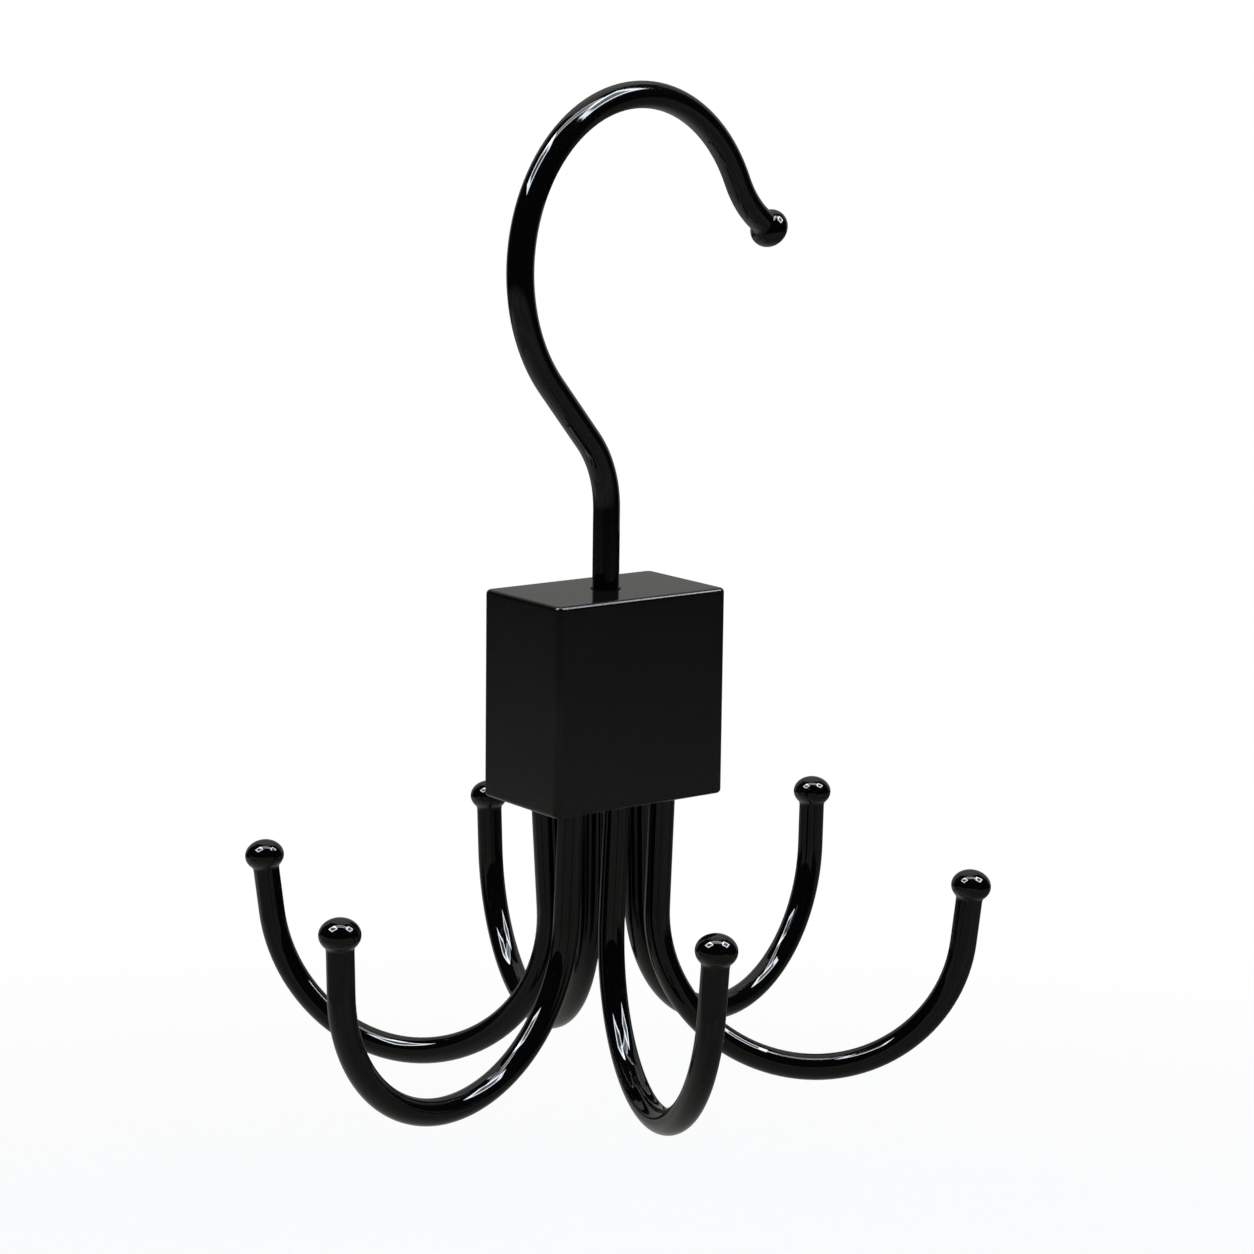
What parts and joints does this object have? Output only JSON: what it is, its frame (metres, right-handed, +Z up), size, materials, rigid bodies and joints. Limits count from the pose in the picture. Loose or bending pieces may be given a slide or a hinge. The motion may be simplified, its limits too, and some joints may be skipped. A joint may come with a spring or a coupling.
{
  "type": "delicates hanger",
  "caption": "Closet-rod hanger with a ball-tipped swivel hook over a small rounded block and a ring of J-shaped wire arms with ball tips for straps and other delicates.",
  "frame": {"origin": "the point of the hook's crown that lies on the closet rod, on its underside", "axes": "+Z up along the hook's shank, +X along the block's wide face towards the hook's open side, -Y out of the block's wide front face"},
  "size_m": [0.1782, 0.1591, 0.2323],
  "materials": {
    "wire": "gloss black enamel on bent steel wire",
    "tip": "gloss black enamel on flattened steel balls",
    "housing": "satin black moulded plastic with rounded edges",
    "carrier": "plain moulded core, hidden",
    "bush": "white bearing plastic, hidden",
    "steel": "bright zinc plating"
  },
  "bodies": {
    "hook": {"top_hook": "wire", "hook_ball_tip": "tip", "thrust_washer": "steel", "lock_nut": "steel"},
    "block": {"arm_carrier": "carrier", "arm_front_left": "wire", "arm_front_middle": "wire", "arm_front_right": "wire", "arm_rear_left": "wire", "arm_rear_middle": "wire", "arm_rear_right": "wire", "base_plate": "housing", "block_housing": "housing", "cover_screw_left": "steel", "cover_screw_right": "steel", "cross_pin_front": "steel", "cross_pin_rear": "steel", "swivel_bush": "bush", "tip_front_left": "tip", "tip_front_middle": "tip", "tip_front_right": "tip", "tip_rear_left": "tip", "tip_rear_middle": "tip", "tip_rear_right": "tip"}
  },
  "joints": [
    {"name": "hook_swivel", "type": "hinge", "parent": "hook", "child": "block", "pos_m": [-0.00938, -0.00167, -0.10887], "axis": [0, 0, 1], "continuous": true}
  ]
}
